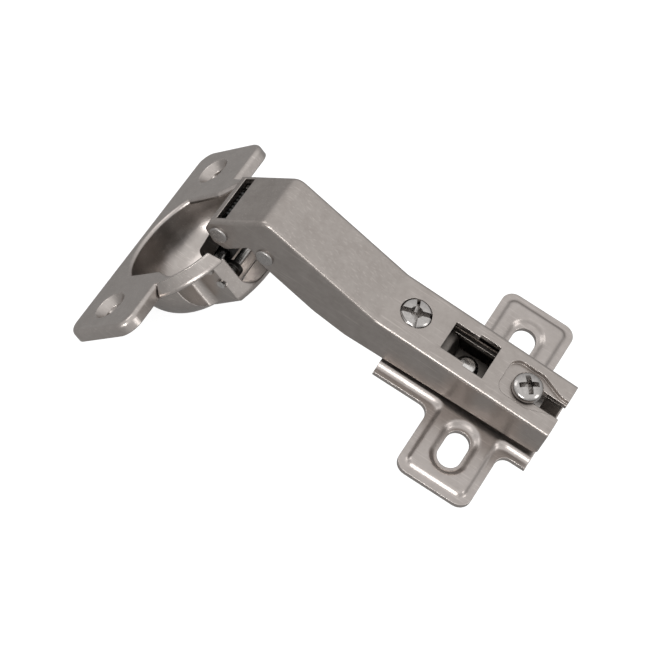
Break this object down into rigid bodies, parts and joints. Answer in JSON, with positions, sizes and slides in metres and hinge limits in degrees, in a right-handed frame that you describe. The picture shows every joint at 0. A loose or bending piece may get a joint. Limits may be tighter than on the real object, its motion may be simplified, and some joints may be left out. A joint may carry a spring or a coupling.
{
  "type": "concealed hinge",
  "caption": "Concealed cabinet hinge with a cranked angled arm and a drawn cup, on a slide-on cross-shaped mounting plate.",
  "frame": {"origin": "on the mounting plate's underside, midway between its two screw slots", "axes": "+X along the arm to its rear end, +Y along the hinge pins, +Z away from the cabinet side"},
  "size_m": [0.1027, 0.061, 0.0505],
  "materials": {
    "plate_steel": "nickel-plated pressed steel, satin",
    "arm_steel": "nickel-plated folded steel, satin",
    "cup_steel": "nickel-plated drawn steel, satin",
    "fastener_steel": "bright zinc-plated steel",
    "pin_steel": "plated steel pin, riveted ends",
    "link_steel": "darker plated steel",
    "black_link": "black oxide",
    "black_spring": "black oiled spring wire"
  },
  "bodies": {
    "base": {"mounting_plate": "plate_steel", "plate_spine": "plate_steel", "plate_rivet": "fastener_steel"},
    "carriage": {"clamp_nut": "fastener_steel"},
    "fixing": {"fixing_screw": "fastener_steel"},
    "side_adjuster": {"side_screw": "fastener_steel"},
    "arm": {"hinge_arm": "arm_steel", "front_arm_pin": "pin_steel", "rear_arm_pin": "pin_steel", "closing_spring": "black_spring"},
    "outer": {"outer_link": "link_steel"},
    "inner": {"inner_link": "black_link"},
    "cup": {"hinge_cup": "cup_steel", "cup_pin": "pin_steel"}
  },
  "joints": [
    {"name": "depth_slide", "type": "slide", "parent": "base", "child": "carriage", "axis": [1, 0, 0], "range_m": [-0.0015, 0.0025]},
    {"name": "fixing_turn", "type": "hinge", "parent": "carriage", "child": "fixing", "pos_m": [0.0063, 0, 0.012], "axis": [0, 0, 1], "range_deg": [0, 360]},
    {"name": "side_turn", "type": "hinge", "parent": "carriage", "child": "side_adjuster", "pos_m": [-0.0227, 0, 0.012], "axis": [0, 0, 1], "range_deg": [-222, 222]},
    {"name": "arm_tilt", "type": "hinge", "parent": "carriage", "child": "arm", "pos_m": [0.0063, 0, 0.012], "axis": [0, 1, 0], "range_deg": [-1.2, 1.2]},
    {"name": "door_swing", "type": "hinge", "parent": "arm", "child": "outer", "pos_m": [-0.0683, 0, 0.01003], "axis": [0, 1, 0], "range_deg": [0, 33.3]},
    {"name": "rear_pivot", "type": "hinge", "parent": "arm", "child": "inner", "pos_m": [-0.05692, 0, 0.01224], "axis": [0, 1, 0], "range_deg": [0, 6.37]},
    {"name": "cup_pivot", "type": "hinge", "parent": "outer", "child": "cup", "pos_m": [-0.06294, 0, -0.00215], "axis": [0, 1, 0], "range_deg": [0, 64.71]}
  ],
  "couplings": [
    {"joint": "side_turn", "follows": "arm_tilt", "ratio": -181.8},
    {"joint": "rear_pivot", "follows": "door_swing", "ratio": 0.191},
    {"joint": "cup_pivot", "follows": "door_swing", "ratio": 1.943}
  ]
}
